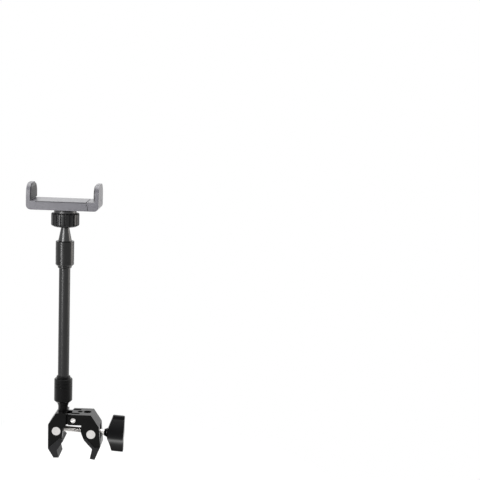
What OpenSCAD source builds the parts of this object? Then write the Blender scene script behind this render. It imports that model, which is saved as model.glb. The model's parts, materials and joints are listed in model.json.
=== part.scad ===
// Phone holder: a spring clip on a ball joint, a gooseneck arm, and a clamp for round poles.
// The pole's centre in the jaws is the origin, the pole lies along Y, the arm rises along +Z.
// The knob points to +X and the front of the holder faces -Y.

/* [Clamp] */
// Thickness of both die-cast jaws, along the pole
jaw_t = 24; // [22:0.5:30]
// Height of the fixed jaw's top face over the pole's centre
jaw_top = 31; // [30:0.5:34]
// Thickness of the rubber on the gripping faces
pad_t = 2.2; // [1.5:0.1:2.6]
// How far the rubber boots stand proud of the jaws, front and back
boot_over = 1; // [0.6:0.1:2]
// Width of the channel in both jaws that the screw swings in
channel_w = 8; // [7.8:0.1:9]
// Radius of the hinge pin
pin_r = 2; // [1.6:0.1:2.2]
// Radius of the round ears that the hinge pin passes
ear_r = 5.4; // [4.8:0.1:5.6]
// Thickness of each ear of the fixed jaw
ear_t = 3.2; // [2.4:0.1:3.4]
// Wall radius of the quarter inch threaded hole
quarter_hole_r = 2.55; // [2.4:0.05:2.7]
// Wall radius of the three eighths inch threaded hole
three_eighths_hole_r = 3.97; // [3.7:0.01:4.1]
// Depth of both threaded holes
hole_depth = 10; // [7:0.5:11]

/* [Screw and knob] */
// Radius of the clamp screw
screw_r = 3; // [2.6:0.1:3.2]
// Radius of the threaded cross barrel in the fixed jaw
nut_barrel_r = 4.4; // [4.2:0.1:5]
// Radius of the plain cross barrel in the moving jaw
swivel_barrel_r = 4.6; // [4.2:0.1:5]
// Distance from the swivel barrel's axis to the knob's hub
knob_gap = 12.3; // [12:0.1:16]
// Length of the knob's hub
hub_len = 3.3; // [2:0.1:5]
// Radius of the knob's hub
hub_r = 4.9; // [4.2:0.1:5.5]
// Depth of the knob's wing, along the screw
wing_depth = 17.5; // [14:0.5:22]
// Length of the wing, tip to tip
wing_len = 48; // [40:1:54]
// Width of the wing at its middle
wing_mid_w = 14.6; // [12:0.2:18]
// Width of the wing's bulbous ends
wing_end_w = 6; // [5:0.2:7]
// Turn of the wing about the screw
wing_turn = 23; // [0:1:90]

/* [Arm] */
// Radius of the rubber sleeve over the gooseneck
sleeve_r = 5.7; // [5.3:0.1:6.4]
// Wall of the rubber sleeve
sleeve_wall = 1.4; // [1:0.1:1.6]
// Length of sleeve that shows between the ferrules
sleeve_len = 112; // [90:1:160]
// Radius of both ferrules
ferrule_r = 9.3; // [8.6:0.1:11]
// Length of both ferrules without their necks
ferrule_len = 25.1; // [24:0.1:30]
// Radius of the neck ring between ferrule and sleeve
neck_r = 7.05; // [6.8:0.05:8]
// Length of the neck ring
neck_len = 3; // [2:0.1:4]
// Radius of the stud's round collar on the clamp
collar_r = 5; // [4.4:0.1:5.5]
// Length of the stud's collar
collar_len = 5; // [4:0.1:7]
// Length of the cone between the stud's collar and the lower ferrule
stud_cone_len = 4.2; // [4:0.1:8]
// Radius of the thread that holds the arm in the clamp
thread_r = 3.1; // [2.8:0.05:3.2]
// Width of the wire turns of the gooseneck's core
turn_pitch = 2.6; // [2:0.1:3.4]

/* [Ball joint] */
// Radius of the ball
ball_r = 6.5; // [6.1:0.1:6.8]
// Length of the ball stud's cone
cone_len = 14.7; // [12:0.1:18]
// Radius of the cone at the ferrule
cone_r = 6.85; // [6.4:0.05:8]
// Radius of the ball stud's neck at the lock nut
ball_neck_r = 3.9; // [3.3:0.1:4]
// Radius of the lock nut over its ribs
lock_nut_r = 14.15; // [13.8:0.05:16]
// Length of the lock nut
lock_nut_len = 14; // [13:0.5:18]
// Number of ribs around the lock nut
rib_count = 20; // [14:1:26]
// Depth of the grooves between the ribs
rib_depth = 1; // [0.6:0.1:1.2]
// Radius of the lock nut's mouth
mouth_r = 9; // [8.8:0.1:9.6]

/* [Clip] */
// Width between the pads with the clip at rest
clip_gap = 61.6; // [56:0.2:70]
// Depth of the clip, along the phone
clip_depth = 34; // [32:0.5:44]
// Height of the clip's bar
bar_h = 9; // [8.6:0.2:12]
// Height of the jaws over the bar
clip_jaw_h = 17; // [14:0.5:24]
// Thickness of the jaw walls of the clip
clip_wall = 4; // [3:0.1:5]
// Thickness of the rubber pads in the clip
clip_pad_t = 1.2; // [0.8:0.1:1.6]
// Radius of the rounded tops of the clip's jaws
jaw_top_r = 11; // [8:0.5:12]
// Radius of the outer lower corners of the clip
corner_r = 4.5; // [3:0.1:6]
// Thickness of the top wall and of the cover of the bar
skin_t = 2; // [1.6:0.1:2.2]
// Radius of the two tension springs
spring_r = 1.9; // [1.6:0.1:2]

/* [Hidden] */
$fn = 48;

// Clearances: running fit on a radius, free gap between moving faces, cut past a face
run = 0.06;
free = 0.3;
past = 1;

// Pivots of the clamp as [x, z]
hinge = [-3.3, 23.75];
nut_at = [-20.5, 12.1];
barrel_at = [15.2, 9.7];
arm_x = -15.5;

// Outline of the fixed jaw with its boot, round from the top left corner
seam_x = -10.8;
fixed_outline = [
    [-21.1, jaw_top], [-28.8, 19], [-28.8, -6], [-22.8, -16], [-17.5, -15.8],
    [-19.5, -8.1], [-13.2, 1.8], [-14.6, 3.6], [-13.4, 15.6], [seam_x, 17.4], [seam_x, jaw_top]
];
// Each boot covers what lies inside a second outline
fixed_boot = [
    [-40, -6.5], [-40, -30], [-8, -30], [-8, 3.2], [-14.2, 3.2], [-16.2, 5.4], [-28.8, -6.5]
];

// Outline of the moving jaw with its boot, round from the bridge's left end
moving_top = jaw_top - 1;
bridge_z = 18.9;
moving_outline = [
    [-8.3, bridge_z], [5.1, bridge_z], [4.4, 13.7], [5.4, 9.8], [7.6, 4.3],
    [16.7, -5.7], [14.5, -16], [19.6, -16.9], [25.1, -3.4], [23.3, 17.5],
    [15, moving_top], [-5.3, moving_top], [-8.3, moving_top - 2.8]
];
moving_boot = [
    [0, -30], [27, -30], [27, -4], [19.2, -4], [10.5, 5.5], [8.3, 3.5], [0, 3.5]
];

// Screw channels as [low x, high x, low z, high z]
fixed_channel = [-32, -8, 5, 18.4];
moving_channel = [2, 28, 3.4, 17.4];

// The two ears of the fixed jaw and the slots they turn in
ear_in = 5;
slot_end = hinge[0] + ear_r + 0.4;
head_r = pin_r + 0.55;
head_h = 1.4;

// Threaded holes in the moving jaw's top
quarter_x = 2.3;
three_eighths_x = 9.9;

// Screw axis from the rod nut to the swivel barrel
screw_run = barrel_at - nut_at;
screw_tilt = atan2(screw_run[1], screw_run[0]);
screw_span = norm(screw_run);
screw_tip = 5.2;
ring_t = 0.8;
ring_off = swivel_barrel_r + 0.15;
ring_r = screw_r + 0.6;

// Wing of the knob along the screw
wing_at = knob_gap + hub_len;
hub_taper = 1.5;
wing_flare = 5.4;
wing_chamfer = 1.2;
screw_in_knob = 12;

// Heights up the arm
z_cone = jaw_top + collar_len;
z_lower = z_cone + stud_cone_len;
z_neck = z_lower + ferrule_len;
z_tube = z_neck + neck_len;
z_tube_end = z_tube + sleeve_len;
z_upper = z_tube_end + neck_len;
z_upper_end = z_upper + ferrule_len;
z_nut = z_upper_end + cone_len;
z_nut_end = z_nut + lock_nut_len;

// Sockets in the ferrules
spigot_r = 5;
spigot_len = 8;
web_t = 3;
sleeve_gap = 0.05;
top_spigot_r = 5.9;
top_spigot_len = 14;
set_screw_drop = 7.4;
groove_drop = 4.8;
groove_step = 3.5;
sleeve_low = z_lower + spigot_len + web_t + free;
sleeve_high = z_upper_end - top_spigot_len - web_t - free;

// Core of the gooseneck: the joints that stand in for its bend, and the lengths between them
bend_count = 6;
bend_pitch = sleeve_len / bend_count;
core_r = sleeve_r - sleeve_wall - free;
core_gap = 1.6;
turn_dip = 0.5;
thread_len = 10;

// Ball joint
z_ball = z_nut + 7;
socket_low = z_ball - 2.8;
ball_fit = 0.1;
socket_thread_r = 10.9;
nut_bore_r = socket_thread_r + 0.2;
flange_r = 11.25;
flange_len = 2.5;
z_flange = z_nut_end;
post_r = 8.5;
post_len = 1.4;
z_bar = z_flange + flange_len + post_len + 0.1;
clip_thread_r = 3.15;
clip_thread_len = 5.5;

// Clip, along X from the arm's axis
left_pad_x = -31.4;
right_pad_x = left_pad_x + clip_gap;
left_x = left_pad_x - clip_pad_t - clip_wall;
right_x = right_pad_x + clip_pad_t + clip_wall;
end_seam_x = left_pad_x + 4.3;
slide_seam_x = right_pad_x - 5.4;
seam_step = 1.2;
z_bar_top = z_bar + bar_h;
half_depth = clip_depth / 2;
side_wall = 3;
end_wall = 1.2;
cavity_y = half_depth - side_wall;
cavity_x = end_seam_x + end_wall;
leg_gap = 0.3;
leg_y = 9.6;
leg_x = end_seam_x + 6.1;
web_x = slide_seam_x - 4.5;
insert_r = 4;
boss_r = 4.9;
spring_y = 7.3;
spring_z = z_bar + bar_h / 2;
spring_pin_r = 0.75;
left_pin_x = cavity_x + 1.9;
right_pin_x = slide_seam_x - 2.3;
wire_r = 0.4;
screw_y = half_depth - 1.5;
pad_inset = 1.4;

// Small screws of the clip: shank radius, lengths, and the hole past a screw's end
small_screw_r = 1;
cover_screw_len = 5;
end_screw_len = 7;
end_screw_y = cavity_y - 2.5;
end_screw_head = 0.9;
screw_run_out = 0.3;

// Reveals between the clip's mouldings: width and depth
reveal_w = 0.6;
reveal_d = 0.8;
z_step = z_bar + bar_h * 0.62;

// Direction of a vector, and an outline moved inwards by a distance, corner by corner
function unit(v) = v / norm(v);
function side(a, b) = let (u = unit(b - a)) [-u[1], u[0]];
function inset(p, d) = [
    for (i = [0:len(p) - 1])
        let (
            before = side(p[(i + len(p) - 1) % len(p)], p[i]),
            after = side(p[i], p[(i + 1) % len(p)])
        )
        p[i] + d * (before + after) / (1 + before * after)
];

// An [x, z] profile drawn along Y
module along_y(y0, y1) {
    translate([0, y1, 0]) rotate([90, 0, 0]) linear_extrude(height = y1 - y0) children();
}

// A [y, z] profile drawn along X
module along_x(x0, x1) {
    translate([x0, 0, 0]) rotate([90, 0, 90]) linear_extrude(height = x1 - x0) children();
}

// A round bar along Y through an [x, z] point
module bar_y(at, r, y0, y1) {
    translate([at[0], y1, at[1]]) rotate([90, 0, 0]) cylinder(r = r, h = y1 - y0);
}

// The metal of a jaw: full outline above its boot, thinner by the rubber inside the boot
module jaw_metal(outline, boot) {
    difference() {
        polygon(outline);
        polygon(boot);
    }
    polygon(inset(outline, pad_t));
}

module screw_channel(c) {
    translate([c[0], -channel_w / 2, c[2]]) cube([c[1] - c[0], channel_w, c[3] - c[2]]);
}

// Rubber boot: the covered stretch of the outline, hollow where the metal is
module jaw_boot(outline, boot, channel) {
    difference() {
        along_y(-jaw_t / 2 - boot_over, jaw_t / 2 + boot_over) intersection() {
            polygon(outline);
            polygon(boot);
        }
        along_y(-jaw_t / 2, jaw_t / 2) jaw_metal(outline, boot);
        screw_channel(channel);
    }
}

// Clamp: fixed jaw

module fixed_ear() {
    along_y(0, ear_t) {
        translate(hinge) circle(r = ear_r);
        translate([seam_x - past, hinge[1] - ear_r]) square([hinge[0] - seam_x + past, 2 * ear_r]);
    }
}

module fixed_jaw() {
    color("#1f1f20") difference() {
        union() {
            along_y(-jaw_t / 2, jaw_t / 2) jaw_metal(fixed_outline, fixed_boot);
            for (y = [-ear_in - ear_t, ear_in]) translate([0, y, 0]) fixed_ear();
        }
        bar_y(hinge, pin_r + run, -jaw_t, jaw_t);
        bar_y(nut_at, nut_barrel_r + run, -jaw_t, jaw_t);
        screw_channel(fixed_channel);
        translate([arm_x, 0, jaw_top - thread_len - 0.5])
            cylinder(r = thread_r + run, h = thread_len + past + 0.5);
    }
}

module fixed_jaw_pad() {
    color("#3a3a3c") jaw_boot(fixed_outline, fixed_boot, fixed_channel);
}

module hinge_pin() {
    color("#d9d9da") difference() {
        union() {
            bar_y(hinge, pin_r, -jaw_t / 2 + head_h, jaw_t / 2);
            bar_y(hinge, head_r, -jaw_t / 2, -jaw_t / 2 + head_h);
        }
        translate([hinge[0], -jaw_t / 2, hinge[1]]) rotate([0, -25, 0])
            cube([2 * head_r + past, 1.4, 0.8], center = true);
    }
}

// Clamp: moving jaw

module moving_jaw() {
    color("#1f1f20") difference() {
        along_y(-jaw_t / 2, jaw_t / 2) jaw_metal(moving_outline, moving_boot);
        for (y = [-ear_in - ear_t, ear_in])
            translate([seam_x, y - free, bridge_z - past])
                cube([slot_end - seam_x, ear_t + 2 * free, moving_top - bridge_z + 2 * past]);
        bar_y(hinge, pin_r + run, -jaw_t, jaw_t);
        bar_y(hinge, head_r + 0.2, -jaw_t, -jaw_t / 2 + head_h + 0.2);
        bar_y(barrel_at, swivel_barrel_r + run, -jaw_t, jaw_t);
        screw_channel(moving_channel);
        translate([quarter_x, 0, moving_top - hole_depth])
            cylinder(r = quarter_hole_r, h = hole_depth + past);
        translate([three_eighths_x, 0, moving_top - hole_depth])
            cylinder(r = three_eighths_hole_r, h = hole_depth + past);
    }
}

module moving_jaw_pad() {
    color("#3a3a3c") jaw_boot(moving_outline, moving_boot, moving_channel);
}

// Clamp: screw, its two cross barrels and the knob

// Places a piece on the screw: its own Z runs from the swivel barrel to the knob
module on_screw() {
    translate([barrel_at[0], 0, barrel_at[1]]) rotate([0, 90 - screw_tilt, 0]) children();
}

module screw_hole(r) {
    on_screw() translate([0, 0, -screw_span * 1.5]) cylinder(r = r, h = screw_span * 2);
}

module rod_nut() {
    color("#d9d9da") difference() {
        bar_y(nut_at, nut_barrel_r, -jaw_t / 2, jaw_t / 2);
        screw_hole(screw_r + 0.2);
    }
}

module swivel_barrel() {
    color("#d9d9da") difference() {
        bar_y(barrel_at, swivel_barrel_r, -jaw_t / 2, jaw_t / 2);
        screw_hole(screw_r + run);
    }
}

module clamp_screw() {
    color("#cfcfd1") on_screw() translate([0, 0, -screw_span - screw_tip]) {
        translate([0, 0, 1])
            cylinder(r = screw_r, h = screw_span + screw_tip + wing_at + screw_in_knob - 1);
        cylinder(r1 = screw_r - 0.8, r2 = screw_r, h = 1);
    }
}

module screw_ring() {
    difference() {
        cylinder(r = ring_r, h = ring_t);
        translate([0, 0, -past]) cylinder(r = screw_r + 0.02, h = ring_t + 2 * past);
    }
}

module screw_rings() {
    color("#3b3b3d") on_screw() {
        translate([0, 0, ring_off]) screw_ring();
        translate([0, 0, -ring_off - ring_t]) screw_ring();
    }
}

// Half width of the wing: wide in the middle, falling in a bell curve to the bulbs' necks
function wing_half(t) =
    let (neck = wing_end_w / 2 - 0.3)
    neck + (wing_mid_w / 2 - neck) * exp(-pow(t / (wing_len / 6), 2));

module wing_section() {
    end = (wing_len - wing_end_w) / 2;
    steps = 14;
    upper = [for (i = [-steps:steps]) let (t = end * i / steps) [t, wing_half(t)]];
    lower = [for (i = [-steps:steps]) let (t = -end * i / steps) [t, -wing_half(t)]];
    polygon(concat(lower, upper));
    for (x = [-end, end]) translate([x, 0]) circle(r = wing_end_w / 2);
}

module knob() {
    color("#141415") on_screw() difference() {
        union() {
            rotate_extrude() polygon([
                [0, knob_gap], [hub_r - hub_taper, knob_gap], [hub_r, wing_at],
                [hub_r, wing_at + past], [0, wing_at + past]
            ]);
            intersection() {
                rotate([0, 0, wing_turn]) translate([0, 0, wing_at])
                    linear_extrude(height = wing_depth) wing_section();
                translate([0, 0, wing_at]) rotate_extrude() polygon([
                    [0, 0], [hub_r, 0], [wing_len / 2 + 0.3, wing_flare],
                    [wing_len / 2 + 0.3, wing_depth - wing_chamfer],
                    [wing_len / 2 - wing_chamfer, wing_depth], [0, wing_depth]
                ]);
            }
        }
        cylinder(r = screw_r + 0.02, h = wing_at + screw_in_knob + 0.3);
    }
}

// Arm

module arm_stud() {
    color("#262627") translate([arm_x, 0, 0]) rotate_extrude() polygon([
        [0, jaw_top - thread_len], [thread_r - 0.6, jaw_top - thread_len],
        [thread_r, jaw_top - thread_len + 0.6], [thread_r, jaw_top + 0.1],
        [collar_r, jaw_top + 0.1], [collar_r, z_cone], [collar_r + 1.3, z_lower],
        [spigot_r, z_lower], [spigot_r, z_lower + spigot_len], [0, z_lower + spigot_len]
    ]);
}

// A ring groove cut into a turned piece
module groove(r, z) {
    translate([0, 0, z - 0.35]) difference() {
        cylinder(r = r + past, h = 0.7);
        translate([0, 0, -past]) cylinder(r = r - 0.5, h = 0.7 + 2 * past);
    }
}

module lower_ferrule() {
    bore = sleeve_r + sleeve_gap;
    color("#222223") translate([arm_x, 0, 0]) difference() {
        rotate_extrude() polygon([
            [spigot_r + 0.02, z_lower], [ferrule_r - 2, z_lower], [ferrule_r, z_lower + 2],
            [ferrule_r, z_neck - 1], [ferrule_r - 1, z_neck], [neck_r, z_neck],
            [neck_r, z_tube - 1], [bore + 0.2, z_tube], [bore, z_tube],
            [bore, z_lower + spigot_len + web_t], [2, z_lower + spigot_len + web_t],
            [2, z_lower + spigot_len], [spigot_r + 0.02, z_lower + spigot_len]
        ]);
        groove(ferrule_r, z_neck - groove_drop);
        groove(ferrule_r, z_neck - groove_drop - groove_step);
    }
}

// One stiff length of the wound core: rounded turns with a dip between them
module coil(z0, z1) {
    turns = max(2, round((z1 - z0) / turn_pitch));
    step = (z1 - z0) / turns;
    edge = [for (i = [0:4 * turns]) [core_r - turn_dip * pow(cos(45 * i), 2), z0 + step * i / 4]];
    color("#8a8b8d") translate([arm_x, 0, 0]) rotate_extrude()
        polygon(concat([[1.6, z0]], edge, [[1.6, z1]]));
}

// Height of a bend joint, counted from 1
function bend_z(k) = z_tube + bend_pitch * (k - 0.5);

module coil_length(k) {
    z0 = k == 1 ? sleeve_low : bend_z(k - 1) + core_gap / 2;
    z1 = k == bend_count + 1 ? sleeve_high : bend_z(k) - core_gap / 2;
    coil(z0, z1);
}

module arm_sleeve() {
    color("#2e2e2f") translate([arm_x, 0, sleeve_low]) difference() {
        cylinder(r = sleeve_r, h = sleeve_high - sleeve_low);
        translate([0, 0, -past])
            cylinder(r = sleeve_r - sleeve_wall, h = sleeve_high - sleeve_low + 2 * past);
    }
}

// Set screw's place: on the left of the upper ferrule, a little to the front
set_screw_r = 1.5;
set_screw_z = z_upper_end - set_screw_drop;
module on_set_screw() {
    translate([arm_x, 0, set_screw_z]) rotate([0, 0, 15]) rotate([0, -90, 0]) children();
}

module upper_ferrule() {
    bore = sleeve_r + sleeve_gap;
    seat = z_upper_end - top_spigot_len;
    color("#222223") difference() {
        translate([arm_x, 0, 0]) difference() {
            rotate_extrude() polygon([
                [bore, z_tube_end], [bore + 0.2, z_tube_end], [neck_r, z_tube_end + 1],
                [neck_r, z_upper], [ferrule_r - 1.2, z_upper], [ferrule_r, z_upper + 1.2],
                [ferrule_r, z_upper_end - 0.5], [ferrule_r - 0.5, z_upper_end],
                [top_spigot_r + 0.02, z_upper_end], [top_spigot_r + 0.02, seat],
                [2, seat], [2, seat - web_t], [bore, seat - web_t]
            ]);
            groove(ferrule_r, z_upper + 4.2);
        }
        on_set_screw() translate([0, 0, top_spigot_r - past])
            cylinder(r = set_screw_r + 0.02, h = ferrule_r);
    }
}

module set_screw() {
    color("#4a4a4c") on_set_screw() translate([0, 0, top_spigot_r + 0.05]) difference() {
        cylinder(r = set_screw_r, h = 2.7);
        translate([0, 0, 1.5]) cylinder(r = 0.8, h = 2, $fn = 6);
    }
}

// Ball joint

module ball_stud() {
    color("#2a2a2b") translate([arm_x, 0, 0]) {
        rotate_extrude() polygon([
            [0, z_upper_end - top_spigot_len + 0.1], [top_spigot_r, z_upper_end - top_spigot_len + 0.1],
            [top_spigot_r, z_upper_end], [cone_r, z_upper_end], [ball_neck_r, z_nut],
            [ball_neck_r, z_ball - 4], [0, z_ball - 4]
        ]);
        translate([0, 0, z_ball]) sphere(r = ball_r);
    }
}

module ball_socket() {
    color("#1d1d1e") translate([arm_x, 0, 0]) difference() {
        rotate_extrude() polygon([
            [0, socket_low], [socket_thread_r - 2.3, socket_low],
            [socket_thread_r, socket_low + 3.8], [socket_thread_r, z_flange],
            [flange_r, z_flange], [flange_r, z_flange + flange_len],
            [post_r, z_flange + flange_len], [post_r, z_flange + flange_len + post_len],
            [clip_thread_r, z_flange + flange_len + post_len],
            [clip_thread_r, z_bar + clip_thread_len], [0, z_bar + clip_thread_len]
        ]);
        translate([0, 0, z_ball]) sphere(r = ball_r + ball_fit);
        for (a = [45, 135]) rotate([0, 0, a])
            translate([-socket_thread_r - past, -0.6, socket_low - past])
                cube([2 * (socket_thread_r + past), 1.2, 5.6]);
    }
}

// Ribbed outline of the lock nut
module ribbed_disc() {
    low_r = lock_nut_r - rib_depth;
    pitch = 360 / rib_count;
    polygon([
        for (i = [0:rib_count - 1], c = [[0.08, low_r], [0.2, lock_nut_r], [0.72, lock_nut_r], [0.84, low_r]])
            c[1] * [cos(pitch * (i + c[0])), sin(pitch * (i + c[0]))]
    ]);
}

module lock_nut() {
    color("#161617") translate([arm_x, 0, z_nut]) difference() {
        intersection() {
            linear_extrude(height = lock_nut_len) ribbed_disc();
            rotate_extrude() polygon([
                [0, 0], [lock_nut_r - 3.2, 0], [lock_nut_r, 1.8], [lock_nut_r, lock_nut_len - 0.8],
                [lock_nut_r - 0.8, lock_nut_len], [0, lock_nut_len]
            ]);
        }
        rotate_extrude() polygon([
            [0, -past], [mouth_r, -past], [mouth_r, 2.5], [nut_bore_r, 6],
            [nut_bore_r, lock_nut_len + past], [0, lock_nut_len + past]
        ]);
    }
}

// Clip

// Side outline of a clip jaw: straight sides and a top with two round shoulders
module jaw_side(inset_by, z0) {
    r = jaw_top_r - inset_by;
    w = half_depth - inset_by;
    top = z_bar_top + clip_jaw_h - inset_by;
    intersection() {
        union() {
            for (y = [-w + r, w - r]) translate([y, top - r]) circle(r = r);
            translate([-w + r, z0]) square([2 * (w - r), top - z0]);
            translate([-w, z0]) square([2 * w, top - r - z0]);
        }
        translate([-w, z0]) square([2 * w, top - z0]);
    }
}

// Front outline of an end of the clip: a wall with a foot and a round outer corner,
// drawn for the right end and mirrored for the left
module end_front(outer, inner, seam, step) {
    difference() {
        union() {
            translate([inner, z_bar]) square([outer - inner, bar_h + clip_jaw_h]);
            translate([seam, z_bar]) square([outer - seam, bar_h]);
            translate([seam - step, z_step]) square([outer - seam, z_bar_top - z_step]);
        }
        translate([outer - corner_r, z_bar]) difference() {
            square([corner_r + past, corner_r]);
            translate([0, corner_r]) circle(r = corner_r);
        }
    }
}

module on_clip() {
    translate([arm_x, 0, 0]) children();
}

// A countersunk or cylindrical small screw along its own Z, head at the bottom
module small_screw(r, len, head, head_len) {
    cylinder(r = head, h = head_len);
    cylinder(r = r, h = len);
}

module cover_screw_places() {
    for (x = [leg_x + 0.4, slide_seam_x - 3], y = [-screw_y, screw_y])
        translate([x, y, z_bar]) children();
}

module end_screw_places() {
    for (y = [-end_screw_y, end_screw_y])
        translate([cavity_x + end_screw_head + 0.1, y, spring_z]) rotate([0, -90, 0]) children();
}

// A narrow reveal in the front and back faces of the bar
module reveal(x0, x1, z0, z1) {
    for (y = [-half_depth - past, half_depth - reveal_d]) translate([x0, y, z0])
        cube([x1 - x0, reveal_d + past, z1 - z0]);
}

module clip_housing() {
    color("#5f6064") on_clip() difference() {
        union() {
            along_x(end_seam_x, slide_seam_x - seam_step)
                translate([-half_depth, z_bar + skin_t]) square([clip_depth, bar_h - skin_t]);
            along_x(slide_seam_x - seam_step - past, slide_seam_x)
                translate([-half_depth, z_bar + skin_t]) square([clip_depth, z_step - z_bar - skin_t]);
        }
        step_x = slide_seam_x - seam_step;
        reveal(end_seam_x - past, step_x, z_bar_top - 1.1, z_bar_top - 0.5);
        reveal(step_x - reveal_w, step_x + past, z_step, z_bar_top + past);
        reveal(step_x - reveal_w, slide_seam_x + past, z_step - reveal_w, z_step);
        reveal(slide_seam_x - reveal_w, slide_seam_x + past, z_bar, z_step);
        translate([step_x - reveal_w, -half_depth - past, z_bar_top - reveal_d])
            cube([reveal_w + past, clip_depth + 2 * past, reveal_d + past]);
        translate([cavity_x, -cavity_y, z_bar - past])
            cube([slide_seam_x - cavity_x + past, 2 * cavity_y, bar_h - skin_t + past]);
        bar_y([left_pin_x, spring_z], spring_pin_r + 0.02, -cavity_y - 1.5, cavity_y + 1.5);
        cover_screw_places() cylinder(r = small_screw_r + 0.02, h = cover_screw_len + screw_run_out);
        end_screw_places() translate([0, 0, -past]) cylinder(r = small_screw_r + 0.1, h = 6);
    }
}

module clip_cover() {
    color("#58595d") on_clip() difference() {
        union() {
            translate([end_seam_x, -half_depth, z_bar])
                cube([slide_seam_x - end_seam_x, clip_depth, skin_t]);
            translate([0, 0, z_bar]) cylinder(r = boss_r, h = bar_h - skin_t - free);
        }
        translate([0, 0, z_bar - past]) cylinder(r = insert_r + 0.01, h = bar_h);
        reveal(slide_seam_x - reveal_w, slide_seam_x + past, z_bar - past, z_bar + skin_t);
        cover_screw_places() {
            translate([0, 0, -past]) cylinder(r = 1.42, h = 1.2 + past);
            cylinder(r = small_screw_r + 0.1, h = skin_t + past);
        }
    }
}

module cover_screws() {
    color("#2b2b2d") on_clip() cover_screw_places() difference() {
        small_screw(small_screw_r, cover_screw_len, 1.4, 1.2);
        translate([-0.2, -past, -past]) cube([0.4, 2 * past, past + 0.5]);
    }
}

module thread_insert() {
    color("#b08d4a") on_clip() translate([0, 0, z_bar]) difference() {
        cylinder(r = insert_r, h = bar_h - skin_t - free);
        translate([0, 0, -past]) cylinder(r = clip_thread_r + run, h = bar_h);
    }
}

module end_jaw() {
    color("#5f6064") on_clip() difference() {
        intersection() {
            along_y(-half_depth, half_depth) mirror([1, 0])
                end_front(-left_x, -left_x - clip_wall, -end_seam_x, 0);
            along_x(left_x - past, end_seam_x + past) jaw_side(0, z_bar);
        }
        end_screw_places() translate([0, 0, -past])
            cylinder(r = small_screw_r + 0.02, h = past + end_screw_len + screw_run_out);
    }
}

module end_jaw_screws() {
    color("#2b2b2d") on_clip() end_screw_places()
        small_screw(small_screw_r, end_screw_len, 1.6, end_screw_head);
}

module clip_pad() {
    along_x(0, clip_pad_t) jaw_side(pad_inset, z_bar_top + 1);
}

module end_jaw_pad() {
    color("#77787a") on_clip() translate([left_pad_x - clip_pad_t, 0, 0]) clip_pad();
}

module sliding_jaw() {
    leg_z = z_bar + skin_t + leg_gap;
    leg_h = bar_h - 2 * skin_t - 2 * leg_gap;
    color("#5f6064") on_clip() difference() {
        union() {
            intersection() {
                along_y(-half_depth, half_depth)
                    end_front(right_x, right_x - clip_wall, slide_seam_x + 0.1, seam_step);
                along_x(slide_seam_x - 2 * past, right_x + past) jaw_side(0, z_bar);
            }
            for (s = [-1, 1]) translate([leg_x, s > 0 ? leg_y : -cavity_y + leg_gap, leg_z])
                cube([slide_seam_x + past - leg_x, cavity_y - leg_gap - leg_y, leg_h]);
            translate([web_x, -cavity_y + leg_gap, leg_z])
                cube([slide_seam_x + past - web_x, 2 * (cavity_y - leg_gap), leg_h]);
        }
        for (s = [-1, 1]) translate([web_x - past, s * spring_y - spring_r - 0.2, leg_z - past])
            cube([slide_seam_x - 0.4 - web_x + past, 2 * spring_r + 0.4, leg_h + 2 * past]);
        bar_y([right_pin_x, spring_z], spring_pin_r + 0.02, -leg_y - 2, leg_y + 2);
        translate([right_x - 0.6, 2, z_bar_top + 0.5]) rotate([0, 90, 0]) cylinder(r = 1.2, h = 2);
    }
}

module sliding_jaw_pad() {
    color("#77787a") on_clip() translate([right_pad_x, 0, 0]) clip_pad();
}

// One tension spring: close wound turns with a round eye on each pin
module jaw_spring() {
    x0 = left_pin_x + 2.6;
    x1 = right_pin_x - 2.6;
    turns = 36;
    step = (x1 - x0) / turns;
    edge = [for (i = [0:2 * turns]) [spring_r - (i % 2 == 0 ? 0.3 : 0), step * i / 2]];
    translate([x0, 0, spring_z]) rotate([0, 90, 0]) rotate_extrude()
        polygon(concat([[0.9, 0]], edge, [[0.9, x1 - x0]]));
    for (x = [left_pin_x, right_pin_x]) translate([x, 0, spring_z]) rotate([90, 0, 0])
        rotate_extrude() translate([spring_pin_r + 0.1 + wire_r, 0]) circle(r = wire_r, $fn = 16);
    for (x = [left_pin_x + 1.4, x1 - 0.2]) translate([x, 0, spring_z]) rotate([0, 90, 0])
        cylinder(r = wire_r, h = 1.4);
    for (x = [x0, x1 - 0.5]) translate([x, 0, spring_z]) rotate([0, 90, 0])
        cylinder(r = spring_r - 0.3, h = 0.5);
}

module jaw_springs() {
    color("#a9abae") on_clip() for (s = [-1, 1]) translate([0, s * spring_y, 0]) jaw_spring();
}

module housing_spring_pin() {
    color("#a9abae") on_clip()
        bar_y([left_pin_x, spring_z], spring_pin_r, -cavity_y - 1.4, cavity_y + 1.4);
}

module jaw_spring_pin() {
    color("#a9abae") on_clip()
        bar_y([right_pin_x, spring_z], spring_pin_r, -leg_y - 1.9, leg_y + 1.9);
}

fixed_jaw();
fixed_jaw_pad();
hinge_pin();
moving_jaw();
moving_jaw_pad();
rod_nut();
swivel_barrel();
clamp_screw();
screw_rings();
knob();
arm_stud();
lower_ferrule();
coil_length(1);  // coil_1
coil_length(2);  // coil_2
coil_length(3);  // coil_3
coil_length(4);  // coil_4
coil_length(5);  // coil_5
coil_length(6);  // coil_6
coil_length(7);  // coil_7
arm_sleeve();
upper_ferrule();
set_screw();
ball_stud();
ball_socket();
lock_nut();
clip_housing();
clip_cover();
cover_screws();
thread_insert();
end_jaw();
end_jaw_pad();
end_jaw_screws();
sliding_jaw();
sliding_jaw_pad();
jaw_springs();
housing_spring_pin();
jaw_spring_pin();
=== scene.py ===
"""Phone holder on a gooseneck arm with a pole clamp: finishes, rounded edges and fine detail."""
import json
import math

import bmesh
import bpy
import numpy as np
from mathutils import Matrix, Vector

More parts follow.
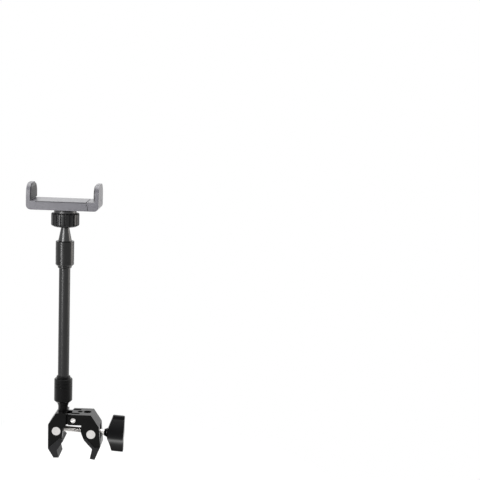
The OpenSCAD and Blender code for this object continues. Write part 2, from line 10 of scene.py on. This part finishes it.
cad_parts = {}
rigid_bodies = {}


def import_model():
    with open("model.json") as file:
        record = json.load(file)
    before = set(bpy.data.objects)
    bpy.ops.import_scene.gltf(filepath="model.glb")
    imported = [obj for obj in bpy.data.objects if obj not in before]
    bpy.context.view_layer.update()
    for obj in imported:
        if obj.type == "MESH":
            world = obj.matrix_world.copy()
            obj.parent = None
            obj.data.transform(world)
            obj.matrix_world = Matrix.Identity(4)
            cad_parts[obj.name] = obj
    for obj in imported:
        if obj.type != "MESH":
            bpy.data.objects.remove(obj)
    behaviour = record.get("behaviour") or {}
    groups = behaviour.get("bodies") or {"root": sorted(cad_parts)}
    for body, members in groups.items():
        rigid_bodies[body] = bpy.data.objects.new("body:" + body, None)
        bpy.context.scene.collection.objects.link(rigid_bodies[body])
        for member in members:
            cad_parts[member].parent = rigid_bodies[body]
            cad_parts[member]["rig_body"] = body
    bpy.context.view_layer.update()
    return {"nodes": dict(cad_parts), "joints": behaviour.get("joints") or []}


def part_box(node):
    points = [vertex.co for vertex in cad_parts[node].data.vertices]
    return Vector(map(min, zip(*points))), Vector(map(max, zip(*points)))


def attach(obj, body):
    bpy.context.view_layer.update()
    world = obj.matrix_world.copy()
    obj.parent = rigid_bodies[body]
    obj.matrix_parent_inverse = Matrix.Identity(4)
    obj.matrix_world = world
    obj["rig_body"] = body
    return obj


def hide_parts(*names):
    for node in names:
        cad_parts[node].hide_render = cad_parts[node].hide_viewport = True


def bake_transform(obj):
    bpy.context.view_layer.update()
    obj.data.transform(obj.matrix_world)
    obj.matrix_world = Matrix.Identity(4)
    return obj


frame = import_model()
MM = 0.001

# Camera: it stands to the right of the holder, a little above the clip, and looks slightly down.
# Place, turn and focal length were worked out from where the holder's corners lie in the picture.

sensor_mm, lens_mm = 36, 81.76
stand = (0.1584, -1.0894, 0.3795)
heading, dip, roll = (math.radians(angle) for angle in (-0.15, -8.56, -2.06))

camera_data = bpy.data.cameras.new("camera")
camera_data.sensor_width = sensor_mm
camera_data.lens = lens_mm
camera = bpy.data.objects.new("camera", camera_data)
bpy.context.scene.collection.objects.link(camera)
camera.location = stand
# An unturned camera looks down, and a quarter turn about X makes it look level along Y
level = Matrix.Rotation(math.radians(90), 3, "X")
turn = Matrix.Rotation(heading, 3, "Z") @ Matrix.Rotation(dip, 3, "X")
turn = turn @ Matrix.Rotation(roll, 3, "Y")
camera.rotation_euler = (turn @ level).to_euler()
bpy.context.scene.camera = camera
bpy.context.scene.view_settings.view_transform = "Standard"


def add(tree, kind, sockets=None, **settings):
    """Adds one node, sets its settings, and sets or links each named input."""
    made = tree.nodes.new(kind)
    for name, value in settings.items():
        setattr(made, name, value)
    for name, value in (sockets or {}).items():
        if isinstance(value, bpy.types.NodeSocket):
            tree.links.new(value, made.inputs[name])
        else:
            made.inputs[name].default_value = value
    return made


def colour(text):
    """An sRGB hex colour as linear red, green, blue and alpha."""
    parts = [int(text[i:i + 2], 16) / 255 for i in (1, 3, 5)]
    return [c / 12.92 if c <= 0.04045 else ((c + 0.055) / 1.055) ** 2.4 for c in parts] + [1]


# Studio: a plain white room that shows behind the holder and in its glossy faces, and five soft
# lamps. The floor is matt and white under the holder, where it takes the soft shadow, and turns
# into the white of the room further out. Lengths are in metres.

room_light = 0.2
floor_z, floor_size = -0.075, 8
matt_to, white_from = 0.08, 0.3

world = bpy.data.worlds.new("studio")
world.use_nodes = True
bpy.context.scene.world = world
tree = world.node_tree
tree.nodes.clear()


def seen_by(tree):
    """One for rays that show the white room: straight ones, reflections and through glass."""
    rays = add(tree, "ShaderNodeLightPath").outputs
    mirrored = add(tree, "ShaderNodeMath", {0: rays["Is Glossy Ray"],
                                            1: rays["Is Transmission Ray"]}, operation="MAXIMUM")
    return add(tree, "ShaderNodeMath", {0: rays["Is Camera Ray"], 1: mirrored.outputs[0]},
               operation="MAXIMUM").outputs[0]


room = add(tree, "ShaderNodeBackground", {"Color": colour("#e6e7ea"), "Strength": room_light})
white = add(tree, "ShaderNodeBackground", {"Color": (1, 1, 1, 1), "Strength": 1.0})
sky = add(tree, "ShaderNodeMixShader", {0: seen_by(tree), 1: room.outputs[0],
                                        2: white.outputs[0]})
add(tree, "ShaderNodeOutputWorld", {"Surface": sky.outputs[0]})

bpy.ops.mesh.primitive_plane_add(size=floor_size, location=(0, 0, floor_z))
floor = bpy.context.object
floor.name = "floor"
paint = bpy.data.materials.new("white_floor")
paint.use_nodes = True
tree = paint.node_tree
tree.nodes.clear()
place = add(tree, "ShaderNodeTexCoord").outputs["Object"]
reach = add(tree, "ShaderNodeVectorMath", {0: place}, operation="LENGTH").outputs["Value"]
far = add(tree, "ShaderNodeMapRange", {"Value": reach, "From Min": matt_to,
                                       "From Max": white_from})
as_room = add(tree, "ShaderNodeMath", {0: far.outputs[0], 1: seen_by(tree)},
              operation="MULTIPLY").outputs[0]
matt = add(tree, "ShaderNodeBsdfDiffuse", {"Color": colour("#f8f8f8")})
glow = add(tree, "ShaderNodeEmission", {"Color": (1, 1, 1, 1), "Strength": 1.0})
ground = add(tree, "ShaderNodeMixShader", {0: as_room, 1: matt.outputs[0], 2: glow.outputs[0]})
add(tree, "ShaderNodeOutputMaterial", {"Surface": ground.outputs[0]})
floor.data.materials.append(paint)


def lamp(name, place, target, size, watts, tint="#ffffff"):
    """A flat soft lamp at one point, turned to face another. It lights and is mirrored, but the
    camera doesn't see it."""
    data = bpy.data.lights.new(name, "AREA")
    data.shape = "RECTANGLE"
    data.size, data.size_y = size
    data.energy = watts
    data.color = colour(tint)[:3]
    made = bpy.data.objects.new(name, data)
    bpy.context.scene.collection.objects.link(made)
    made.location = place
    made.rotation_euler = (Vector(target) - Vector(place)).to_track_quat("-Z", "Y").to_euler()
    made.visible_camera = False


lamp("front_left_box", (-0.46, -0.9, 0.5), (0, 0, 0.2), (0.6, 0.8), 8)
lamp("left_strip", (-0.3, -0.42, 0.33), (0, 0, 0.33), (0.07, 0.6), 2.5)
lamp("right_box", (0.9, 0.3, 0.3), (0, 0, 0.12), (0.5, 0.9), 6, "#fff9f2")
lamp("top_box", (0.0, 0.25, 1.1), (0, 0, 0.12), (0.9, 0.9), 11)
lamp("back_box", (0.0, 1.0, 0.62), (0, 0, 0.12), (1.2, 0.5), 0.8)


# Cast jaws: two aluminium die castings in a fine matt black powder coat. Their edges are
# lightly rounded by the die and the coat, and the coat's grain scatters the light.

# How broad the faint patches are, how wide a crease still gets painted shade, and the feed of a
# lathe's tool, which is drawn coarser than a real one so that its rings show
patch_mm, shade_reach_mm, feed_mm = 9, 1.1, 0.45
# The part of the noise that makes the patches, and how open a spot is from full painted shade to
# none
noise_span = {"From Min": 0.3, "From Max": 0.7}
shade_span = {"From Min": 0.35, "From Max": 0.8}
gloss_spread = 0.08


def finish(name, base, rough, grain_mm, depth_mm, spread=0.12, crease_shade=0.12, turned_at=None,
           **shader):
    """A solid-coloured moulded or coated surface: a fine grain in the bump, and a broad,
    faint change of tone and gloss, both from noise on object coordinates. Narrow seams,
    grooves and inside corners get painted shade: their colour is darkened, down to the crease
    shade factor, where occlusion finds them closed in. A face turned on a lathe adds fine rings
    round its centre, given in metres."""
    material = bpy.data.materials.new(name)
    material.use_nodes = True
    tree = material.node_tree
    tree.nodes.clear()
    place = add(tree, "ShaderNodeTexCoord").outputs["Object"]
    grain = add(tree, "ShaderNodeTexNoise", {"Vector": place, "Scale": 1 / (grain_mm * MM),
                                             "Detail": 3.0}).outputs["Fac"]
    if turned_at:
        away = add(tree, "ShaderNodeVectorMath", {0: place, 1: turned_at},
                   operation="SUBTRACT").outputs["Vector"]
        in_face = add(tree, "ShaderNodeVectorMath", {0: away, 1: (1, 0, 1)},
                      operation="MULTIPLY").outputs["Vector"]
        reach = add(tree, "ShaderNodeVectorMath", {0: in_face}, operation="LENGTH").outputs["Value"]
        phase = add(tree, "ShaderNodeMath", {0: reach, 1: 2 * math.pi / (feed_mm * MM)},
                    operation="MULTIPLY").outputs[0]
        rings = add(tree, "ShaderNodeMath", {0: phase}, operation="SINE").outputs[0]
        grain = add(tree, "ShaderNodeMath", {0: grain, 1: rings}, operation="ADD").outputs[0]
    patch = add(tree, "ShaderNodeTexNoise", {"Vector": place, "Scale": 1 / (patch_mm * MM),
                                             "Detail": 4.0}).outputs["Fac"]
    tone = add(tree, "ShaderNodeMapRange", {"Value": patch, **noise_span,
                                            "To Min": 1 - spread, "To Max": 1 + spread})
    tint = add(tree, "ShaderNodeVectorMath", {0: colour(base)[:3], "Scale": tone.outputs[0]},
               operation="SCALE").outputs[0]
    # Painted shade: the colour darkens in narrow seams, grooves and inside corners that occlusion
    # finds closed in
    open_air = add(tree, "ShaderNodeAmbientOcclusion", {"Distance": shade_reach_mm * MM}, samples=8,
                   only_local=True).outputs["AO"]
    painted_crease_shade = add(tree, "ShaderNodeMapRange", {"Value": open_air, **shade_span,
                                             "To Min": crease_shade, "To Max": 1.0}).outputs[0]
    tint = add(tree, "ShaderNodeVectorMath", {0: tint, "Scale": painted_crease_shade}, operation="SCALE").outputs[0]
    gloss = add(tree, "ShaderNodeMapRange", {"Value": patch, **noise_span,
                                             "To Min": rough * (1 - gloss_spread),
                                             "To Max": rough * (1 + gloss_spread)})
    bump = add(tree, "ShaderNodeBump", {"Height": grain, "Distance": depth_mm * MM,
                                        "Strength": 1.0}).outputs[0]
    skin = add(tree, "ShaderNodeBsdfPrincipled", {"Base Color": tint, "Normal": bump,
                                                  "Roughness": gloss.outputs[0], **shader})
    add(tree, "ShaderNodeOutputMaterial", {"Surface": skin.outputs[0]})
    return material


def shown(name, mesh, material, slot, body, *nodes):
    """Puts a finished mesh into the scene as one piece that stands for its solids. A piece
    given no body is left unattached."""
    piece = bpy.data.objects.new(name, mesh)
    bpy.context.scene.collection.objects.link(piece)
    mesh.materials.clear()
    mesh.materials.append(material)
    if body:
        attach(piece, body)
    if nodes:
        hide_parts(*nodes)
    return piece


merge_mm, flat_angle, edge_segments = 0.002, 0.4, 3


def rounded(node, material, slot, edge_mm, angle=28):
    """A copy of a solid's mesh with merged corners, flat faces joined, and every edge sharper
    than the angle rounded to the given radius. Angles are in degrees."""
    source = frame["nodes"][node]
    mesh = source.data.copy()
    mesh.name = node + "_finished"
    shape = bmesh.new()
    shape.from_mesh(mesh)
    bmesh.ops.remove_doubles(shape, verts=shape.verts, dist=merge_mm * MM)
    bmesh.ops.dissolve_limit(shape, angle_limit=math.radians(flat_angle), verts=shape.verts,
                             edges=shape.edges)
    shape.to_mesh(mesh)
    shape.free()
    mesh.shade_smooth()
    piece = shown(node + "_finished", mesh, material, slot, source["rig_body"], node)
    bevel = piece.modifiers.new("edges", "BEVEL")
    bevel.width = edge_mm * MM
    bevel.segments = edge_segments
    bevel.limit_method = "ANGLE"
    bevel.angle_limit = math.radians(angle)
    even = piece.modifiers.new("flat_faces", "WEIGHTED_NORMAL")
    even.keep_sharp = True
    even.weight = 100
    return piece


# The coat, the rubber and the gloss plastic mirror little face on and as much as any other
# smooth surface at a flat angle, which a low specular tint gives
faint_gleam = {"Specular Tint": (0.15, 0.15, 0.15, 1)}
powder = finish("powder_coat_black", "#090909", 0.28, 0.45, 0.015, **faint_gleam)
for node in ("fixed_jaw", "moving_jaw"):
    rounded(node, powder, "die_cast_black", edge_mm=0.35)


# Boots of the jaws: moulded rubber caps over the gripping faces, a little greyer and duller
# than the coat, with a fine moulded grain.

boot_rubber = finish("moulded_rubber_dark", "#1e1e1f", 0.5, 0.7, 0.04, **faint_gleam)
for node in ("fixed_jaw_pad", "moving_jaw_pad"):
    rounded(node, boot_rubber, "pad_rubber", edge_mm=0.4)


# Hinge pin and cross barrels: turned steel, nickel plated and bright. The pin has a slotted
# head, and the barrels turn in the jaws with their ends flush.

for node, edge_mm in (("hinge_pin", 0.2), ("rod_nut", 0.35), ("swivel_barrel", 0.35)):
    low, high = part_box(node)
    middle = (low + high) / 2
    plate = finish("turned_nickel_" + node, "#cfcdcb", 0.22, 0.5, 0.003, spread=0.06,
                   crease_shade=0.4, turned_at=(middle.x, 0, middle.z), Metallic=1.0)
    rounded(node, plate, "bright_steel", edge_mm)


# Screw rings: two small rings of blackened steel, one each side of the swivel barrel, that keep
# the screw in it. They are shown as the solids are.

black_oxide = finish("black_oxide_steel", "#2b2b2d", 0.4, 0.5, 0.01, Metallic=0.8)


def coat(node, material):
    """Gives a solid that is shown as it is its material."""
    solid = frame["nodes"][node]
    solid.data.materials.clear()
    solid.data.materials.append(material)


coat("screw_rings", black_oxide)


# Clamp screw: a 6 mm rod of nickel plated steel with a rolled thread from its tip to near the
# swivel barrel, and a plain shank from there into the knob.

crisp_angle = 35


def closed_grid(name, points, wrap=True):
    """A mesh from a grid of points, rows by columns. The columns close into a ring, and the
    first and last row either join each other or are closed by a fan at their middle."""
    rows, columns = points.shape[:2]
    at = np.arange(rows * columns).reshape(rows, columns)
    below = at if wrap else at[:-1]
    above = np.roll(at, -1, 0) if wrap else at[1:]
    quads = np.stack([below, np.roll(below, -1, 1), np.roll(above, -1, 1), above], -1)
    faces = quads.reshape(-1, 4).tolist()
    places = points.reshape(-1, 3)
    if not wrap:
        ends = np.stack([points[0].mean(0), points[-1].mean(0)])
        places = np.vstack([places, ends])
        first, last = rows * columns, rows * columns + 1
        faces += [[int(b), int(a), first] for a, b in zip(at[0], np.roll(at[0], -1))]
        faces += [[int(a), int(b), last] for a, b in zip(at[-1], np.roll(at[-1], -1))]
    mesh = bpy.data.meshes.new(name)
    mesh.from_pydata(places.tolist(), [], faces)
    shape = bmesh.new()
    shape.from_mesh(mesh)
    bmesh.ops.recalc_face_normals(shape, faces=shape.faces)
    shape.to_mesh(mesh)
    shape.free()
    mesh.shade_smooth()
    mesh.set_sharp_from_angle(angle=math.radians(crisp_angle))
    return mesh


joints = {joint["name"]: joint for joint in frame["joints"]}
screw_out = -Vector(joints["knob_turn"]["axis"]).normalized()
screw_at = Vector(joints["knob_turn"]["pos_m"])
screw_turn = Vector((0, 0, 1)).rotation_difference(screw_out).to_matrix().to_4x4()
on_screw = Matrix.Translation(screw_at) @ screw_turn

# In mm along the screw from the swivel barrel's axis
screw_from, thread_to, screw_to = -40.9, -6.2, 27.4
screw_radius, thread_depth, pitch = 3.0, 0.45, 1.0
lead_in, run_out, tip_edge = 1.2, 1.5, 0.9
rows_a_turn, shank_rows, screw_columns = 8, 12, 40
nickel = finish("nickel_plate", "#d2d0ce", 0.2, 0.5, 0.004, spread=0.1, crease_shade=0.6, Metallic=1.0)
along = np.concatenate([np.arange(screw_from, thread_to, pitch / rows_a_turn),
                        np.linspace(thread_to, screw_to, shank_rows)])
around = np.linspace(0, 2 * math.pi, screw_columns, endpoint=False)
height, angle = np.meshgrid(along, around, indexing="ij")
# The radius is the rod's, less the thread's depth times a triangle wave of the height in turns
# less the angle in turns. The wave fades in at the tip and out at the shank.
valley = np.abs(2 * ((height / pitch - angle / (2 * math.pi)) % 1) - 1)
fade = (np.clip((height - screw_from) / lead_in, 0, 1)
        * np.clip((thread_to - height) / run_out, 0, 1))
radius = screw_radius - thread_depth * valley * np.where(height < thread_to, fade, 0)
radius = np.minimum(radius, screw_radius - tip_edge * np.clip(1 - (height - screw_from), 0, 1))
thread = np.stack([radius * np.cos(angle), radius * np.sin(angle), height], -1) * MM
mesh = closed_grid("clamp_screw_thread", thread, wrap=False)
mesh.transform(on_screw)
shown("clamp_screw_thread", mesh, nickel, "bright_steel", "screw", "clamp_screw")


# Knob: a two-wing moulding in gloss black plastic on the end of the screw. The wing is a long
# lozenge with round bulbs at its tips, and its inner side slopes back from the hub.

wing_len, wing_mid, wing_end, wing_depth = 48.0, 14.6, 6.0, 17.5
hub_r, hub_from, wing_from, flare, wing_turn = 4.9, 12.3, 15.6, 5.4, 23.0
waist, bulb_run = 0.3, 4
inner_edge, rim_edge = 0.8, 1.5
side_points, cap_points = 60, 14


def wing_outline():
    """Points round the wing. Along each side its half width is the neck's plus a bell curve of
    the distance from the middle, swelling to the bulb near the tip, which is a half circle."""
    neck = wing_end / 2 - waist
    tip = (wing_len - wing_end) / 2
    t = tip * np.sin(np.linspace(-math.pi / 2, math.pi / 2, side_points))
    half = neck + (wing_mid / 2 - neck) * np.exp(-(t / (wing_len / 6)) ** 2)
    swell = np.clip((np.abs(t) - tip + bulb_run) / bulb_run, 0, 1) ** 2
    half = half * (1 - swell) + wing_end / 2 * swell
    turn = np.linspace(-math.pi / 2, math.pi / 2, cap_points)[1:-1]
    cap = np.stack([tip + wing_end / 2 * np.cos(turn), wing_end / 2 * np.sin(turn)], -1)
    low = np.stack([t, -half], -1)
    return np.vstack([low, cap, -low, -cap])


def wing_rows():
    """Rows of the wing from the middle of its inner side, over its rim, to the middle of its
    face. Each row is the outline drawn in by an inset, at a height along the screw, and the
    inner side rises evenly with the distance from the screw."""
    outline = wing_outline()
    ahead = np.roll(outline, -1, 0) - np.roll(outline, 1, 0)
    inward = np.stack([-ahead[:, 1], ahead[:, 0]], -1)
    inward /= np.linalg.norm(inward, axis=1)[:, None]
    rows = []

    def row(points, height):
        rows.append(np.column_stack([points, np.broadcast_to(height, len(points))]))

    def slope(points):
        reach = np.linalg.norm(points, axis=1)
        return wing_from + flare * np.clip((reach - hub_r) / (wing_len / 2 - hub_r), 0, 1)

    for share in np.linspace(0.08, 1, 9):
        points = (outline + inward * inner_edge) * share
        row(points, slope(points))
    for a in np.linspace(0.2, 1, 5) * math.pi / 2:
        points = outline + inward * inner_edge * (1 - math.sin(a))
        row(points, slope(points) + inner_edge * (1 - math.cos(a)))
    top = wing_from + wing_depth
    start = slope(outline) + inner_edge
    for share in np.linspace(0.1, 1, 8):
        row(outline, start + (top - rim_edge - start) * share)
    for a in np.linspace(0.15, 1, 7) * math.pi / 2:
        row(outline + inward * rim_edge * (1 - math.cos(a)), top - rim_edge * (1 - math.sin(a)))
    for share in np.linspace(1, 0.05, 9)[1:]:
        row((outline + inward * rim_edge) * share, top)
    return np.stack(rows)


gloss_black = finish("gloss_moulded_black", "#080809", 0.12, 2.5, 0.012, spread=0.1,
                     **faint_gleam)
wing = wing_rows() * MM
mesh = closed_grid("knob_wing", wing, wrap=False)
mesh.transform(on_screw @ Matrix.Rotation(math.radians(wing_turn), 4, "Z"))
shown("knob_wing", mesh, gloss_black, "gloss_plastic_black", "screw", "knob")


def turned(name, profile, centre=(0, 0), count=96):
    """A turned piece: a closed outline of radius and height, in mm, carried round an axis
    along Z."""
    outline = np.array(profile, float)
    around = np.linspace(0, 2 * math.pi, count, endpoint=False)
    radius, angle = np.meshgrid(outline[:, 0], around, indexing="ij")
    height = np.broadcast_to(outline[:, 1][:, None], radius.shape)
    points = np.stack([centre[0] + radius * np.cos(angle), centre[1] + radius * np.sin(angle),
                       height], -1) * MM
    return closed_grid(name, points)


hub_bore, hub_nose, hub_edge, hub_sunk = 3.05, 3.4, 0.2, 0.6
hub = turned("knob_hub", [(hub_bore, hub_from), (hub_nose - hub_edge, hub_from),
                          (hub_nose, hub_from + hub_edge), (hub_r, wing_from),
                          (hub_r, wing_from + hub_sunk), (hub_bore, wing_from + hub_sunk)])
hub.transform(on_screw)
shown("knob_hub", hub, gloss_black, "gloss_plastic_black", "screw", "knob")


# Ferrules, arm stud and ball stud: turned steel in satin black paint, with ring grooves, bright
# soft highlights along their length, and a set screw in the upper one.

satin_black = finish("satin_black_paint", "#080808", 0.26, 0.6, 0.006, spread=0.1,
                     **{"Specular Tint": (0.65, 0.65, 0.65, 1)})
# Painted shade: the lower ferrule and the arm stud get a copy of the black paint with a low specular
# tint, so they mirror less and look darker than the upper ferrule
shaded_copy_black = finish("shaded_copy_black_paint", "#090909", 0.3, 0.6, 0.012, spread=0.1, **faint_gleam)
# Painted light: the ball stud gets a copy of the black with a lighter base colour and full specular,
# so it shows brighter than the ferrules
lit_copy_black = finish("lighter_glossier_black_copy", "#161617", 0.24, 0.6, 0.004, spread=0.1)
for node, paint in (("lower_ferrule", shaded_copy_black), ("arm_stud", shaded_copy_black),
                    ("upper_ferrule", satin_black), ("ball_stud", lit_copy_black)):
    rounded(node, paint, "painted_black", edge_mm=0.25, angle=24)
coat("set_screw", black_oxide)


# Sleeve: a smooth satin rubber tube over the wound core. It is one tube on the real arm. Here
# it is six lengths that meet between the bend joints, one round each of them.

arm_x = joints["arm_swivel"]["pos_m"][0] / MM
sleeve_low, sleeve_high = (corner[2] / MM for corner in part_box("arm_sleeve"))
bend_count = 6
bends = [joints["bend_%d" % k] for k in range(1, bend_count + 1)]
bend_z = [joint["pos_m"][2] / MM for joint in bends]
seams = [sleeve_low] + [(a + b) / 2 for a, b in zip(bend_z, bend_z[1:])] + [sleeve_high]
sleeve_out, sleeve_in, stiff_end = 5.7, 4.35, 1.0
tube_rows, tube_columns = 30, 64
sleeve_rubber = finish("satin_rubber", "#0c0c0c", 0.34, 0.8, 0.008, spread=0.1,
                       **{"Specular Tint": (0.75, 0.75, 0.75, 1)})
for index, joint in enumerate(bends):
    low, high = seams[index], seams[index + 1]
    outer = [(sleeve_out, z) for z in np.linspace(low, high, tube_rows)]
    inner = [(sleeve_in, z) for z in np.linspace(high, low, tube_rows)]
    name = "sleeve_length_%d" % (index + 1)
    tube = shown(name, turned(name, outer + inner, (arm_x, 0), tube_columns), sleeve_rubber,
                 "sleeve_rubber", None, "arm_sleeve")
    reach = min(bend_z[index] - low, high - bend_z[index]) - stiff_end
    middle = Vector((arm_x, 0, bend_z[index])) * MM
    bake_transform(tube)


# Wound core: a close coil of drawn spring steel inside the sleeve, out of sight. One coil on
# the real arm, it is as many stiff lengths here as the bend joints part it into.

wire = finish("drawn_spring_wire", "#8c8d90", 0.35, 0.4, 0.01, spread=0.06, Metallic=1.0)
for k in range(1, bend_count + 2):
    coat("coil_%d" % k, wire)


# Lock nut: a moulded black nut with coarse ribs, a chamfered lower edge and a wide round mouth.
# It squeezes the slotted socket onto the ball.

nut_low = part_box("lock_nut")[0].z / MM
nut_r, rib_depth, rib_count, mouth_r, nut_bore_r = 14.15, 1.0, 20, 9.0, 11.1
nut_columns, groove_crown, groove_slope = 480, 1.6, 9
around = np.linspace(0, 2 * math.pi, nut_columns, endpoint=False)
# The radius is the row's own, less the ribs' depth times a smooth step down and up again once
# in each rib's share of the turn
wave = (rib_count * around / (2 * math.pi)) % 1
groove = np.clip(groove_crown - groove_slope * np.abs(wave - 0.5), 0, 1)
groove = groove * groove * (3 - 2 * groove)
# Each row: radius, height over the nut's lower face, and how deep the grooves are cut there
nut_rows = [(mouth_r + 0.5, 0, 0), (mouth_r + 1.2, 0, 0), (nut_r - 3.4, 0, 0),
            (nut_r - 3.0, 0.08, 0.1), (nut_r - 0.9, 1.1, 0.6), (nut_r - 0.3, 1.6, 1),
            (nut_r, 2.3, 1)]
nut_rows += [(nut_r, z, 1) for z in np.linspace(3, 12.6, 6)]
nut_rows += [(nut_r - 0.15, 13.2, 1), (nut_r - 0.5, 13.6, 0.8), (nut_r - 1.1, 13.9, 0.2),
             (nut_r - 1.5, 14, 0), (nut_bore_r + 0.3, 14, 0), (nut_bore_r, 13.7, 0),
             (nut_bore_r, 6, 0), (mouth_r, 2.5, 0), (mouth_r, 0.5, 0)]
row_radius, row_height, row_groove = np.array(nut_rows).T[:, :, None]
radius = row_radius - row_groove * rib_depth * groove
height = np.broadcast_to(nut_low + row_height, radius.shape)
ribs = np.stack([arm_x + radius * np.cos(around), radius * np.sin(around), height], -1) * MM
soft_gleam = {"Specular Tint": (0.5, 0.5, 0.5, 1)}
nut_plastic = finish("semi_gloss_moulded_black", "#101011", 0.26, 1.2, 0.012, spread=0.1,
                     **soft_gleam)
shown("lock_nut_ribbed", closed_grid("lock_nut_ribbed", ribs), nut_plastic,
      "nut_plastic_black", "nut", "lock_nut")


# Ball socket: a slotted collet with a flange and a short post, moulded in black nylon. It
# grips the ball from above, and its post is screwed into the clip.

nylon = finish("moulded_nylon_black", "#1c1c1d", 0.36, 0.8, 0.015)
rounded("ball_socket", nylon, "moulded_black", edge_mm=0.25, angle=24)


# Clip: bar, cover and two jaws moulded in dark plastic with a fine satin texture, coloured a mid
# grey that holds painted reflection of the front lamp's broad sheen. The seams between the mouldings
# show as thin dark lines, deepened by painted shade, and the sliding jaw draws out of the bar.

# The mid grey base colour is painted reflection laid over the plastic's own near black tone
dark_plastic_painted_sheen = finish("dark_plastic_with_painted_sheen", "#555459", 0.32, 0.6, 0.02, spread=0.03)
for node in ("clip_housing", "clip_cover", "end_jaw", "sliding_jaw"):
    rounded(node, dark_plastic_painted_sheen, "moulded_grey", edge_mm=0.5, angle=35)


# Clip hardware: blackened screws in the cover and the end jaw, and two tension springs of drawn
# wire between their pins inside the bar. Little of it shows, and it is shown as the solids are.

for node in ("cover_screws", "end_jaw_screws"):
    coat(node, black_oxide)
for node in ("jaw_springs", "housing_spring_pin", "jaw_spring_pin"):
    coat(node, wire)


# Clip pads: rubber liners glued into the jaws, with rows of small raised lozenges that grip
# the phone's sides.

pad_rubber = finish("moulded_rubber_black", "#1b1b1c", 0.4, 0.5, 0.02)


def studs(name, low, high, facing):
    """Small four-sided pyramids in staggered rows over a pad's face, kept inside its outline
    with two round top corners. Each is a square of four corners and a raised middle. The
    places, in mm, are a grid of whole steps, shifted by half a step in every other row."""
    step, half, rise = 2.0, 0.85, 0.32
    corner, margin, end_margin = 9.6, 1.6, 1.2
    corner_reach = corner - 1.4
    x = high.x if facing > 0 else low.x
    y_middle = (low.y + high.y) / 2
    across, up = (high.y - low.y) / 2, high.z
    places = []
    for index, z in enumerate(np.arange(low.z / MM + margin, high.z / MM - end_margin, step)):
        shift = (index % 2) * step / 2
        for y in np.arange(-across / MM + margin + shift, across / MM - end_margin, step):
            dy = abs(y) - (across / MM - corner)
            dz = z - (up / MM - corner)
            if dy > 0 and dz > 0 and math.hypot(dy, dz) > corner_reach:
                continue
            places.append((y, z))
    centres = np.array(places)
    shape = np.array([(-half, 0, 0), (0, -half, 0), (half, 0, 0), (0, half, 0), (0, 0, rise)])
    y = y_middle / MM + centres[:, 0][:, None] + shape[None, :, 0]
    z = centres[:, 1][:, None] + shape[None, :, 1]
    out = x / MM + facing * np.broadcast_to(shape[None, :, 2], y.shape)
    points = np.stack([out, y, z], -1).reshape(-1, 3) * MM
    base = np.arange(len(centres))[:, None, None] * 5
    sides = np.array([(0, 1, 4), (1, 2, 4), (2, 3, 4), (3, 0, 4)])
    if facing < 0:
        sides = sides[:, ::-1]
    mesh = bpy.data.meshes.new(name)
    mesh.from_pydata(points.tolist(), [], (base + sides[None]).reshape(-1, 3).tolist())
    return mesh


for node, facing in (("end_jaw_pad", 1), ("sliding_jaw_pad", -1)):
    rounded(node, pad_rubber, "clip_rubber", edge_mm=0.3)
    low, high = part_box(node)
    shown(node + "_studs", studs(node + "_studs", low, high, facing), pad_rubber,
          "clip_rubber", frame["nodes"][node]["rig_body"], node)


# Threaded insert: a turned brass bush pressed into the clip's cover, which takes the socket's
# post. The cover and the post hide it.

brass = finish("turned_brass", "#c8a45c", 0.25, 0.4, 0.01, spread=0.05, Metallic=1.0)
coat("thread_insert", brass)
